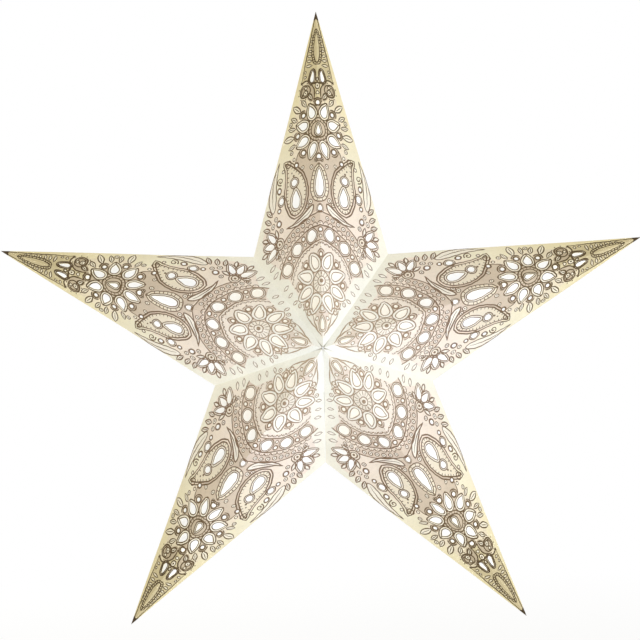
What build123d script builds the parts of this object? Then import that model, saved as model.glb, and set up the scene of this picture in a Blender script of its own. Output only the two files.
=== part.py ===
from build123d import *
import math
import os

# A folded paper star lantern, in millimetres. Its centre is the origin, its front apex points
# to -Y and one ray points up. Each ray is one folded sheet: two facets in front and two behind,
# creased at the ridges and at the side edges, and glued to the next ray by flanges inside the
# valleys. A tissue liner behind the cut-outs spreads the light. The seam between the two lower
# rays isn't glued: it opens to let a lamp in, and two pads hold it shut.

# Sizes of the star
ray_count = 5
tip_radius = 315.0
corner_radius = 107.0
half_depth = 85.0
sheet = 0.35
apex_hole_radius = 1.2

# Glued flanges along the valleys, and the lap that closes each sheet along one side edge
flange_width = 9.0
flange_end_gap = 18.0
lap_width = 7.0
lap_tip_gap = 30.0
lap_end_gap = 12.0

# Tissue liners, which keep clear of the lap, the flanges and the folds
tissue = 0.1
liner_clearance = 1.0

# The open seam below, its pads, and the hole for the lamp's cord
seam_gap = 1.0
pad_length = 16.0
pad_width = 6.0
pad_inset = 1.5
cord_hole_radius = 3.5
cord_hole_behind = 6.5

# Cut-outs of one facet, measured along its ridge from the apex and across it from the ridge.
# They are few-sided: big round holes have eight sides, beads six, and petals five.
hole_sides = 8
bead_sides = 6
bud_at = (262.0, 6.4)
bud_petal = (11.5, 4.4)
bud_tilt = -10.0
flower_at = 208.0
flower_petals = 8
flower_ring_radius = 21.0
flower_petal = (13.5, 7.4)
flower_heart = (11.0, 6.0)
spear_at = 156.0
spear_petal = (26.0, 10.0)
mango_at = (147.0, 29.5)
mango_petal = (18.0, 10.0)
mango_tilt = 2.0
mango_bead_radius = 3.2
mango_bead_offsets = ((16.5, 1.5), (3.0, 18.5))
fan_at = 62.0
fan_petals = 8
fan_ring_radius = 21.0
fan_petal = (13.5, 7.4)
garland_ring_radius = 46.0
garland_hole_radius = 5.2
garland_angles = (13.0, 39.0, 65.0)
spray_at = (109.0, 52.0)
spray_ring_radius = 13.0
spray_petal = (13.0, 5.8)
spray_angles = (50.0, 90.0, 130.0)
root_at = 23.0
root_petal = (11.0, 5.4)

# Geometry that follows from the sizes, for the ray that points up
half_angle = 180.0 / ray_count
tip = Vector(0, 0, tip_radius)
apex = Vector(0, -half_depth, 0)
side = Vector(math.sin(math.radians(half_angle)), 0, math.cos(math.radians(half_angle)))
corner = side * corner_radius
ridge = tip - apex
valley = corner - apex
inward = ridge.cross(valley).normalized()
facet_plane = Plane(origin=apex, x_dir=ridge, z_dir=inward)
into_sector = Vector(-side.Z, 0, side.X)
off_valley = valley.cross(inward).normalized()
corner_on_facet = facet_plane.to_local_coords(corner)


def petal(length, width):
    """Outline of a petal along X, pointed at one end and blunt at the other, where it is fuller."""
    with BuildSketch() as outline:
        with BuildLine():
            Polyline(
                (length / 2, 0),
                (-length / 8, width / 2),
                (-length / 2, width / 5),
                (-length / 2, -width / 5),
                (-length / 8, -width / 2),
                close=True,
            )
        make_face()
    return outline.sketch


def facet_outline(margin):
    """One facet from its ridge outwards, its two other sides moved in by a margin."""
    with BuildSketch() as outline:
        with BuildLine():
            Polyline(
                (0, 0),
                (corner_on_facet.X, corner_on_facet.Y),
                (ridge.length, 0),
                (corner_on_facet.X, -corner_on_facet.Y),
                close=True,
            )
        make_face()
        if margin:
            offset(amount=-margin, kind=Kind.INTERSECTION)
        with Locations((ridge.length / 2, -half_depth)):
            Rectangle(2 * ridge.length, 2 * half_depth, mode=Mode.SUBTRACT)
    return outline.sketch


def ornament():
    """The cut-outs of one facet, with those on the ridge whole."""
    with BuildSketch() as cuts:
        with Locations(Location((*bud_at, 0), (0, 0, bud_tilt))):
            add(petal(*bud_petal))
        with Locations((flower_at, 0)):
            add(petal(*flower_heart))
            with PolarLocations(flower_ring_radius, flower_petals, start_angle=180 / flower_petals):
                add(petal(*flower_petal))
        with Locations((spear_at, 0)):
            add(petal(*spear_petal))
        with Locations(mango_at):
            with Locations(*mango_bead_offsets):
                RegularPolygon(mango_bead_radius, bead_sides)
        with Locations(Location((*mango_at, 0), (0, 0, mango_tilt))):
            add(petal(*mango_petal))
        with Locations((fan_at, 0)):
            with PolarLocations(fan_ring_radius, fan_petals, start_angle=180 / fan_petals):
                add(petal(*fan_petal))
            for angle in garland_angles:
                with PolarLocations(garland_ring_radius, 1, start_angle=angle):
                    RegularPolygon(garland_hole_radius, hole_sides)
        with Locations(spray_at):
            for angle in spray_angles:
                with PolarLocations(spray_ring_radius, 1, start_angle=angle):
                    add(petal(*spray_petal))
        with Locations((root_at, 0)):
            add(petal(*root_petal))
    return cuts.sketch


def blank_half(gap):
    """The right half of a plain ray sheet: a front and a back facet with their flanges, standing
    a gap inside the plane between this ray and the next. A gap also means the open seam, which
    has the cord's hole behind its corner."""
    on_valley = apex + off_valley * (gap / off_valley.dot(into_sector))
    over_valley = off_valley * -sheet
    outline = (tip, apex, apex + over_valley, corner + over_valley, corner)
    with BuildPart() as half:
        with BuildSketch(facet_plane):
            with BuildLine():
                Polyline(*[facet_plane.to_local_coords(point) for point in outline], close=True)
            make_face()
        extrude(amount=sheet)
        split(bisect_by=Plane.YZ, keep=Keep.TOP)
        split(bisect_by=Plane.XZ, keep=Keep.TOP)
        split(bisect_by=Plane(origin=into_sector * gap, z_dir=into_sector), keep=Keep.TOP)
        with BuildSketch(Plane(origin=on_valley, x_dir=valley, z_dir=into_sector)):
            with BuildLine():
                Polyline(
                    (flange_end_gap, 0),
                    (valley.length - flange_end_gap, 0),
                    (valley.length - flange_end_gap - flange_width, flange_width),
                    (flange_end_gap + flange_width, flange_width),
                    close=True,
                )
            make_face()
        extrude(amount=sheet)
        mirror(about=Plane.XZ)
        if gap:
            with BuildSketch(Plane(origin=corner + Vector(0, cord_hole_behind, 0), z_dir=side)):
                Circle(cord_hole_radius)
            extrude(amount=flange_end_gap, both=True, mode=Mode.SUBTRACT)
    return half.part


def glue_lap():
    """The strip that closes a ray's sheet, inside its back left facet along the side edge."""
    with BuildPart() as lap:
        with BuildSketch(facet_plane.offset(sheet)):
            add(facet_outline(0))
            add(facet_outline(lap_width), mode=Mode.SUBTRACT)
            with Locations((corner_on_facet.X + lap_end_gap, 0)):
                Rectangle(ridge.length, ridge.length, align=(Align.MAX, Align.CENTER), mode=Mode.SUBTRACT)
            with Locations((ridge.length - lap_tip_gap, 0)):
                Rectangle(ridge.length, ridge.length, align=(Align.MIN, Align.CENTER), mode=Mode.SUBTRACT)
        extrude(amount=sheet)
        split(bisect_by=Plane.XZ, keep=Keep.TOP)
    return lap.part.rotate(Axis.Z, 180)


def folded_ray(right_gap, left_gap):
    """One ray sheet, folded and cut, pointing up. Mirrored facets carry mirrored cut-outs."""
    with BuildPart() as cutters:
        with BuildSketch(facet_plane):
            add(ornament())
        extrude(amount=sheet)
    right_cutters = (cutters.part, mirror(cutters.part, about=Plane.XZ, mode=Mode.PRIVATE))
    with BuildPart() as folded:
        add(blank_half(right_gap))
        add(mirror(blank_half(left_gap), about=Plane.YZ, mode=Mode.PRIVATE))
        add(glue_lap())
        with Locations(Location((0, 0, 0), (90, 0, 0))):
            Cylinder(apex_hole_radius, 3 * half_depth, mode=Mode.SUBTRACT)
        for cutter in right_cutters:
            add(cutter, mode=Mode.SUBTRACT)
            add(mirror(cutter, about=Plane.YZ, mode=Mode.PRIVATE), mode=Mode.SUBTRACT)
    return folded.part


def tissue_liner():
    """The tissue behind the two front facets of the ray that points up, folded at the ridge."""
    with BuildPart() as liner:
        with BuildSketch(facet_plane.offset(sheet)):
            add(facet_outline(lap_width + liner_clearance))
        extrude(amount=tissue)
        split(bisect_by=Plane.YZ, keep=Keep.TOP)
        mirror(about=Plane.YZ)
    return liner.part


def write(piece, name):
    """Labels a piece and writes its file."""
    piece.label = name
    export_step(piece, f"parts/{name}.step")


os.makedirs("parts", exist_ok=True)

# The rays, clockwise from the one that points up, each with its front and back liner
glued_ray = folded_ray(0, 0)
rays = {
    "top": glued_ray,
    "upper_right": glued_ray,
    "lower_right": folded_ray(seam_gap / 2, 0),
    "lower_left": folded_ray(0, seam_gap / 2),
    "upper_left": glued_ray,
}
front_liner = tissue_liner()
back_liner = mirror(front_liner, about=Plane.XZ)
for place, (ray_name, ray) in enumerate(rays.items()):
    turn = place * 360.0 / ray_count
    write(ray.rotate(Axis.Y, turn), f"ray_{ray_name}")
    write(front_liner.rotate(Axis.Y, turn), f"tissue_front_{ray_name}")
    write(back_liner.rotate(Axis.Y, turn), f"tissue_back_{ray_name}")

# The closing pads lie between the two loose flanges of the seam, one in front and one behind
with BuildPart() as closing_pad:
    with BuildSketch(Plane(origin=apex, x_dir=(0, half_depth, -corner_radius), z_dir=(1, 0, 0))):
        with Locations((valley.length / 2, pad_inset)):
            Rectangle(pad_length, pad_width, align=(Align.CENTER, Align.MIN))
    extrude(amount=seam_gap / 2, both=True)
write(closing_pad.part, "closing_pad_front")
write(mirror(closing_pad.part, about=Plane.XZ), "closing_pad_back")
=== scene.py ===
import logging
import math
import random
from dataclasses import dataclass, field
from enum import Enum, IntEnum
from typing import Protocol

import bmesh
import bpy
import numpy as np
from mathutils import Euler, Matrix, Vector
from mathutils.geometry import delaunay_2d_cdt


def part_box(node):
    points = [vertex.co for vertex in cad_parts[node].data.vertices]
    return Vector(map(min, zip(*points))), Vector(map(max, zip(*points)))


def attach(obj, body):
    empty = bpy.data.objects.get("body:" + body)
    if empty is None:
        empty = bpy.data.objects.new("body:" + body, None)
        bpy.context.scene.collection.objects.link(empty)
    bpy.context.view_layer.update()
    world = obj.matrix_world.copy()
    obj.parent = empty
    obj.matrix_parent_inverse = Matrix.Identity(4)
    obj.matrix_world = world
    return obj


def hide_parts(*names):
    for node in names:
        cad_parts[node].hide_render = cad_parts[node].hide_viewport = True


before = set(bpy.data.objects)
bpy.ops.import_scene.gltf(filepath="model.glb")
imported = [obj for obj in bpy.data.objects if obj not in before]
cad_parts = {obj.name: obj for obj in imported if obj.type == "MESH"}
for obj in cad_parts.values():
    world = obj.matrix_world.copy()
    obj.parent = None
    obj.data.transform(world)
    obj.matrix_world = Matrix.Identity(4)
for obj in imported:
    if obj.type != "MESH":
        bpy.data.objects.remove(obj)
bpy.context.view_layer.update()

LOG = logging.getLogger("star_lantern")
MM = 0.001
BODY = "root"

# About how far apart the points of drawn paths lie, in millimetres
ROUND_STEP, BENT_STEP, LEAF_STEP, CURL_STEP = 1.2, 1.3, 1.6, 1.1
# Flat points this near the ridge, or shares this near zero, count as on the crease
ON_RIDGE, ON_CREASE = 1e-3, 2e-5
# Random phases are drawn from 0 to this, about one whole turn in radians
ANY_PHASE = 6.28

# On the flat sheet: a point, a path of points, and a disc's centre and radius
Point = tuple[float, float]
Path = list[Point]
Disc = tuple[float, float, float]
# In the scene: a place or a direction, a linear colour, and a colour of 0 to 255 steps
Place = tuple[float, float, float]
Colour = tuple[float, float, float]
Steps = tuple[int, int, int]
# Two sizes or shares that belong together, such as a length and a width
Pair = tuple[float, float]


class Print(IntEnum):
    """What one small face of a printed sheet is. Where several overlap, the last one shows."""

    PAPER = 0
    GROUND = 1
    SHADE = 2
    TINT = 3
    DEEP = 4
    PALE = 5
    INK = 6
    HOLE = 7


class Quarter(Enum):
    """The four facets of a ray, by the sides of the ridge and of the star that they are on."""

    FRONT_RIGHT = (1, 1)
    FRONT_LEFT = (-1, 1)
    BACK_RIGHT = (1, -1)
    BACK_LEFT = (-1, -1)


class Side(Enum):
    """The star's two faces."""

    FRONT = "front"
    BACK = "back"


def placed(path: Path, at: Point, turn: float = 0.0) -> Path:
    """Turns a path about its origin by degrees away from the ridge, and moves its origin."""
    cosine, sine = math.cos(math.radians(turn)), math.sin(math.radians(turn))
    return [(at[0] + x * cosine - y * sine, at[1] + x * sine + y * cosine) for x, y in path]


def polar(centre: Point, radius: float, angle: float) -> Point:
    """A point on a circle, by its angle in degrees from the ridge."""
    return placed([(radius, 0.0)], centre, angle)[0]


def circle(centre: Point, radius: float) -> Path:
    """A closed round path."""
    count = max(9, round(2 * math.pi * radius / ROUND_STEP))
    return [polar(centre, radius, 360 * step / count) for step in range(count)]


def arc(centre: Point, radius: float, start: float, end: float) -> Path:
    """An open round path between two angles in degrees."""
    count = max(4, round(abs(math.radians(end - start)) * radius / ROUND_STEP))
    return [polar(centre, radius, start + (end - start) * step / count) for step in range(count + 1)]


def petal(length: float, width: float) -> Path:
    """Draws a closed petal along X, pointed at its far end and round at the near one.

    Args:
        length: Its length.
        width: Its width.

    Returns:
        The path, about its middle.
    """
    girth, widest = 2.4, 0.77
    count = max(12, round(girth * length / BENT_STEP))
    path = []
    for step in range(count):
        angle = 2 * math.pi * step / count
        swell = math.sin(angle) * abs(math.sin(angle / 2)) / widest
        path.append((length / 2 * math.cos(angle), width / 2 * swell))
    return path


def leaf(length: float, width: float) -> Path:
    """Draws a closed leaf along X, pointed at both ends.

    Args:
        length: Its length.
        width: Its width.

    Returns:
        The path, about its middle.
    """
    count = max(5, round(length / LEAF_STEP))
    upper = [(length * (step / count - 0.5), width / 2 * math.sin(math.pi * step / count))
             for step in range(count)]
    return upper + [(-x, -y) for x, y in upper]


def stem(start: Point, control: Point, end: Point) -> Path:
    """Draws an open bent line.

    Args:
        start: Where it starts.
        control: The point that it bends towards.
        end: Where it ends.

    Returns:
        The path.
    """
    count = max(4, round((math.dist(start, control) + math.dist(control, end)) / BENT_STEP))
    path = []
    for step in range(count + 1):
        share = step / count
        keep = 1 - share
        first, middle, last = keep * keep, 2 * keep * share, share * share
        path.append(tuple(first * a + middle * b + last * c for a, b, c in zip(start, control, end)))
    return path


def beside(path: Path, step: int, by: float, closed: bool = False) -> Point:
    """Finds the point to the right of one of a path's points, square to the path.

    Args:
        path: The path.
        step: Which of its points.
        by: How far to the right.
        closed: Whether the path's last point joins its first.

    Returns:
        The point.
    """
    before = path[step - 1] if closed or step else path[0]
    after = path[(step + 1) % len(path)] if closed or step < len(path) - 1 else path[-1]
    along = math.atan2(after[1] - before[1], after[0] - before[0])
    return path[step][0] + by * math.sin(along), path[step][1] - by * math.cos(along)


def horn(start: Point, control: Point, end: Point, radius: float, widest: float = 0.3) -> Path:
    """Draws a closed bent drop: round at its start, swelling, and pointed at its end.

    Args:
        start: The round end.
        control: The point that its line bends towards.
        end: The pointed end.
        radius: Half its width where it is widest.
        widest: The share of its length where that is.

    Returns:
        The closed path.
    """
    point_power = 1.4
    line = stem(start, control, end)
    near, far = [], []
    for step in range(len(line)):
        share = step / (len(line) - 1)
        if share < widest:
            half = radius * math.sqrt(max(0.0, 1 - ((widest - share) / widest) ** 2))
        else:
            half = radius * (1 - ((share - widest) / (1 - widest)) ** point_power)
        near.append(beside(line, step, half))
        far.append(beside(line, step, -half))
    return near[:-1] + far[:0:-1]


def spiral(centre: Point, radius: float, start: float, turns: float) -> Path:
    """Draws an open curl that winds in to its centre.

    Args:
        centre: Its centre.
        radius: Its outer radius.
        start: The angle in degrees where it starts.
        turns: How many turns it makes, below zero the other way round.

    Returns:
        The path.
    """
    wound_in = 0.86
    count = max(10, round(abs(turns) * math.pi * radius / CURL_STEP))
    shares = [step / count for step in range(count + 1)]
    return [polar(centre, radius * (1 - wound_in * share), start + 360 * turns * share) for share in shares]


def signed_area(path: Path) -> float:
    """The area inside a closed path, below zero where it runs clockwise."""
    pairs = zip(path, path[1:] + path[:1])
    return sum(x0 * y1 - x1 * y0 for (x0, y0), (x1, y1) in pairs) / 2


def grown(path: Path, by: float) -> Path:
    """Moves each point of a closed path outwards by millimetres, square to the path."""
    outwards = by if signed_area(path) > 0 else -by
    return [beside(path, step, outwards, closed=True) for step in range(len(path))]


def sampled(path: Path, spacing: float = 5.0) -> Path:
    """Adds points along a closed path's straight sides, so that they can bend.

    Args:
        path: The closed path.
        spacing: About how far apart the points are.

    Returns:
        The path with its added points.
    """
    result = []
    for start, end in zip(path, path[1:] + path[:1]):
        count = max(1, round(math.dist(start, end) / spacing))
        for place in range(count):
            share = place / count
            result.append(tuple(a + (b - a) * share for a, b in zip(start, end)))
    return result


def spread_points(path: Path, grid: float) -> list[Vector]:
    """Spreads points evenly over the box round a path, in staggered rows.

    Args:
        path: The path.
        grid: How far apart the points are.

    Returns:
        The points.
    """
    first_row, stagger = 0.4, (0.9, 0.5)
    low = [min(point[axis] for point in path) for axis in (0, 1)]
    high = [max(point[axis] for point in path) for axis in (0, 1)]
    rows = enumerate(np.arange(low[0] + first_row * grid, high[0], grid))
    return [Vector((along, across)) for row, along in rows
            for across in np.arange(low[1] + grid * stagger[row % 2], high[1], grid)]


@dataclass(frozen=True)
class FlatSheet:
    """A sheet laid flat, split into triangles, each with its print.

    The rim holds its free edges. The lining is the sheet's inner face, in larger triangles, and
    twins names the lining's corner under each corner of the rim.
    """

    points: np.ndarray
    triangles: np.ndarray
    prints: np.ndarray
    rim: np.ndarray
    lining_points: np.ndarray
    lining: np.ndarray
    twins: np.ndarray


def rim_of(triangles: np.ndarray, count: int) -> np.ndarray:
    """Finds the free edges of a triangle mesh of so many corners, each as its two corners in order."""
    edges = np.concatenate([triangles[:, pair] for pair in ([0, 1], [1, 2], [2, 0])])
    return edges[~np.isin(edges[:, 0] * count + edges[:, 1], edges[:, 1] * count + edges[:, 0])]


def chained(rim: np.ndarray) -> list[list[int]]:
    """Chains free edges into closed loops.

    Args:
        rim: The edges.

    Returns:
        Each loop's corners.
    """
    after: dict[int, list[int]] = {}
    for start, end in rim.tolist():
        after.setdefault(start, []).append(end)
    loops = []
    while after:
        loop, here = [], next(iter(after))
        while here in after:
            loop.append(here)
            ends = after[here]
            there = ends.pop()
            if not ends:
                del after[here]
            here = there
        loops.append(loop)
    return loops


def flattened(corners: list[Vector]) -> np.ndarray:
    """Turns corners into an array, with those that lie on the ridge exactly on it.

    Args:
        corners: The corners.

    Returns:
        The array.
    """
    flat = np.array([tuple(corner) for corner in corners])
    flat[np.abs(flat[:, 1]) < ON_RIDGE, 1] = 0.0
    return flat


@dataclass
class Board:
    """The drawing board on which one facet's print and cut-outs are laid out, in millimetres.

    The first coordinate runs along the ridge from the apex to the tip, the second away from it.
    Lines are heavier where heft says so, and swell and thin a little along their way. Points that
    lie nearer than snap become one.
    """

    outline: Path
    seed: int = 5
    grid: float = 6.5
    lining_grid: float = 1.6
    heft_at: tuple[float, ...] = (20.0, 60.0, 110.0, 150.0, 220.0, 245.0, 300.0)
    heft: tuple[float, ...] = (1.25, 1.05, 1.22, 1.1, 1.16, 1.42, 1.42)
    swell: float = 0.18
    swells: float = 9.0
    end_power: float = 0.6
    least_area: float = 0.01
    snap: float = 1e-4
    lining_snap: float = 1e-5
    points: list[Vector] = field(default_factory=list)
    loops: list[list[int]] = field(default_factory=list)
    kinds: list[Print] = field(default_factory=list)

    def __post_init__(self) -> None:
        """Starts the board with the facet's outline."""
        self.chance = random.Random(self.seed)
        self.fill(self.outline, Print.PAPER)

    def fill(self, path: Path, kind: Print) -> None:
        """Fills a closed path with a kind of print.

        Args:
            path: The path.
            kind: The kind, which is a hole where the path is cut out.
        """
        first = len(self.points)
        self.points.extend(Vector(point) for point in (path if signed_area(path) >= 0 else path[::-1]))
        self.loops.append(list(range(first, len(self.points))))
        self.kinds.append(kind)

    def line(self, path: Path, width: float = 0.95, closed: bool = False, taper: float = 0.0) -> None:
        """Draws a line of ink along a path, as a ribbon of small quads.

        Args:
            path: The line's middle.
            width: Its width, before heft.
            closed: Whether its last point joins its first.
            taper: How much narrower an open line's ends are, from 0 to 1.
        """
        count = len(path)
        swing = self.chance.uniform(0, 2 * math.pi)
        first = len(self.points)
        for step, (x, _) in enumerate(path):
            share = step / max(count - 1, 1)
            thin = 1 - taper * (1 - math.sin(math.pi * share) ** self.end_power)
            heft = np.interp(x, self.heft_at, self.heft)
            half = 0.5 * width * heft * thin * (1 + self.swell * math.sin(self.swells * share + swing))
            self.points.extend(Vector(beside(path, step, by, closed)) for by in (half, -half))
        for step in range(count if closed else count - 1):
            here, there = first + 2 * step, first + 2 * ((step + 1) % count)
            for half_quad in ([here, there, there + 1], [here, there + 1, here + 1]):
                if signed_area([tuple(self.points[corner]) for corner in half_quad]) > self.least_area:
                    self.loops.append(half_quad)
                    self.kinds.append(Print.INK)

    def outline_shape(self, path: Path, *steps: float, width: float = 0.95) -> None:
        """Draws closed lines round a shape, each a step further out."""
        for step in steps:
            self.line(grown(path, step), width, closed=True)

    def cut(self, path: Path, *rims: float, width: float = 1.0) -> None:
        """Cuts a hole and draws a line along its edge, with more lines outside it.

        Args:
            path: The hole's closed outline.
            rims: How far outside it the further lines run, the first round a pale rim.
            width: The lines' width.
        """
        edge = 0.35
        self.fill(path, Print.HOLE)
        if rims:
            self.fill(grown(path, rims[0]), Print.PALE)
        self.outline_shape(path, edge, *rims, width=width)

    def dot(self, at: Point, radius: float) -> None:
        """Prints a small filled dot."""
        self.fill([polar(at, radius, 45 * step) for step in range(8)], Print.INK)

    def bead(self, at: Point, radius: float, pierced: bool = False) -> None:
        """Prints a pale bead.

        Args:
            at: Its centre.
            radius: Its radius.
            pierced: Whether it has a small hole in it. Otherwise it has a dot where it is large.
        """
        hole, dot, dotted_from = 0.62, 0.35, 1.8
        self.fill(circle(at, radius), Print.PALE)
        if pierced:
            self.cut(circle(at, radius * hole))
        self.line(circle(at, radius), 0.7 if pierced else 0.8, closed=True)
        if radius > dotted_from and not pierced:
            self.dot(at, radius * dot)

    def beads(self, *beads: Disc, pierced: bool = False) -> None:
        """Prints beads, each given by the two coordinates of its centre and its radius."""
        for along, across, radius in beads:
            self.bead((along, across), radius, pierced)

    def blade(self, at: Point, length: float, width: float, tilt: float, stroke: float = 1.1) -> None:
        """Prints a pale leaf with an outline, and a vein where it is wide.

        Args:
            at: Its middle.
            length: Its length.
            width: Its width.
            tilt: Its angle from the ridge in degrees.
            stroke: The outline's width.
        """
        veined_from, vein_start, vein_end = 4.0, -0.28, 0.3
        shape = placed(leaf(length, width), at, tilt)
        self.fill(shape, Print.PALE)
        self.line(shape, stroke, closed=True)
        if width > veined_from:
            ends = [polar(at, share * length, tilt) for share in (vein_start, vein_end)]
            self.line([ends[0], at, ends[1]], 0.7, taper=0.4)

    def band(self, centre: Point, inner: float, outer: float, start: float, end: float) -> None:
        """Fills the band between two radii and two angles with shade."""
        self.fill(arc(centre, outer, start, end) + arc(centre, inner, start, end)[::-1], Print.SHADE)

    def rays(self, centre: Point, inner: float, outer: float, count: int) -> None:
        """Draws short strokes away from a centre, evenly spaced.

        Args:
            centre: The centre.
            inner: The radius where they start.
            outer: The radius where they end.
            count: How many there are.
        """
        for step in range(count):
            angle = 360 / count * step
            stroke = [polar(centre, radius, angle) for radius in (inner, (inner + outer) / 2, outer)]
            self.line(stroke, 0.7, taper=0.4)

    def comb(self, path: Path, inner: float, outer: float, spacing: float, width: float) -> None:
        """Draws short strokes that stand on a closed path like a comb's teeth.

        Args:
            path: The path.
            inner: How far outside it they start.
            outer: How far outside it they end.
            spacing: How far apart they are.
            width: Their width.
        """
        near, far = grown(path, inner), grown(path, outer)
        travelled = spacing
        for step in range(len(path)):
            travelled += math.dist(path[step - 1], path[step])
            if travelled >= spacing:
                travelled = 0.0
                middle = tuple((a + b) / 2 for a, b in zip(near[step], far[step]))
                self.line([near[step], middle, far[step]], width, taper=0.3)

    def scales(self, centre: Point, radius: float, size: float, start: float, end: float) -> None:
        """Draws a row of scales along an arc, each a small bow that points outwards, with a dot.

        Args:
            centre: The arc's centre.
            radius: Its radius.
            size: Half a scale's width.
            start: The arc's first angle in degrees.
            end: Its last angle.
        """
        bow, dot_at, dot = 0.96, 0.35, 0.45
        count = max(1, round((end - start) / math.degrees(2 * size / radius)))
        for step in range(count):
            angle = start + (step + 0.5) * (end - start) / count
            foot = polar(centre, radius, angle)
            self.line(arc(foot, size * bow, angle - 90, angle + 90), 0.8)
            self.dot(polar(foot, size * dot_at, angle), dot)

    def wander(self, start: int, reach: float = 0.5, tremor: float = 0.16) -> None:
        """Lets what was drawn from a point on wander and tremble a little, as a hand does.

        Args:
            start: The first point that moves.
            reach: How far the slow wander goes.
            tremor: How far the quick tremor goes.
        """
        for point in self.points[start:]:
            x, y = point
            point.x += (reach * math.sin(0.19 * x + 1.7) * math.cos(0.23 * y)
                        + tremor * math.sin(0.71 * y + 0.4 * x))
            point.y += reach * math.sin(0.22 * y + 0.11 * x + 0.6) + tremor * math.sin(0.8 * x + 0.5)

    def split(self) -> FlatSheet:
        """Splits the board into triangles along every line drawn on it.

        Returns:
            The flat sheet, without what lies outside the facet or inside a hole.
        """
        points = self.points + spread_points(self.outline, self.grid)
        corners, _, faces, _, _, owners = delaunay_2d_cdt(points, [], self.loops, 0, self.snap, True)
        triangles, prints = [], []
        for face, owner in zip(faces, owners):
            kind = max((self.kinds[index] for index in owner), default=Print.HOLE)
            if 0 in owner and kind is not Print.HOLE:
                triangles.append(face)
                prints.append(kind)
        used = sorted({corner for face in triangles for corner in face})
        new = {corner: place for place, corner in enumerate(used)}
        flat = flattened([corners[corner] for corner in used])
        faces = np.array([[new[corner] for corner in face] for face in triangles])
        rim = rim_of(faces, len(flat))
        return FlatSheet(flat, faces, np.array(prints), rim, *self.line_inside(flat, rim))

    def line_inside(self, flat: np.ndarray, rim: np.ndarray) -> tuple[np.ndarray, np.ndarray, np.ndarray]:
        """Splits the sheet's inner face into larger triangles, which keep the rim's corners.

        Args:
            flat: The sheet's points.
            rim: Its free edges.

        Returns:
            The inner face's points, its triangles, and the point under each corner of the sheet.
        """
        loops = chained(rim)
        order = [corner for loop in loops for corner in loop]
        points = [Vector(tuple(flat[corner])) for corner in order]
        faces, solid, first = [], set(), 0
        for place, loop in enumerate(loops):
            face = list(range(first, first + len(loop)))
            first += len(loop)
            if signed_area([tuple(flat[corner]) for corner in loop]) > 0:
                solid.add(place)
            else:
                face.reverse()
            faces.append(face)
        points += spread_points(self.outline, self.lining_grid * self.grid)
        corners, _, split, sources, _, owners = delaunay_2d_cdt(points, [], faces, 0, self.lining_snap, True)
        kept = [face for face, owner in zip(split, owners) if owner and set(owner) <= solid]
        twins = np.full(len(flat), -1)
        for place, source in enumerate(sources):
            for index in source:
                if index < len(order):
                    twins[order[index]] = place
        return flattened(corners), np.array(kept), twins


def unit(vector: np.ndarray) -> np.ndarray:
    """The same direction, of length 1."""
    return vector / np.linalg.norm(vector)


def turned(places: np.ndarray, turn: int) -> np.ndarray:
    """Turns places about the star's axis.

    Args:
        places: The places.
        turn: By how many fifths of a turn, clockwise as seen from the front.

    Returns:
        The turned places.
    """
    angle = math.radians(72.0 * turn)
    cosine, sine = math.cos(angle), math.sin(angle)
    x, y, z = places.T
    return np.column_stack([x * cosine + z * sine, y, z * cosine - x * sine])


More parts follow.
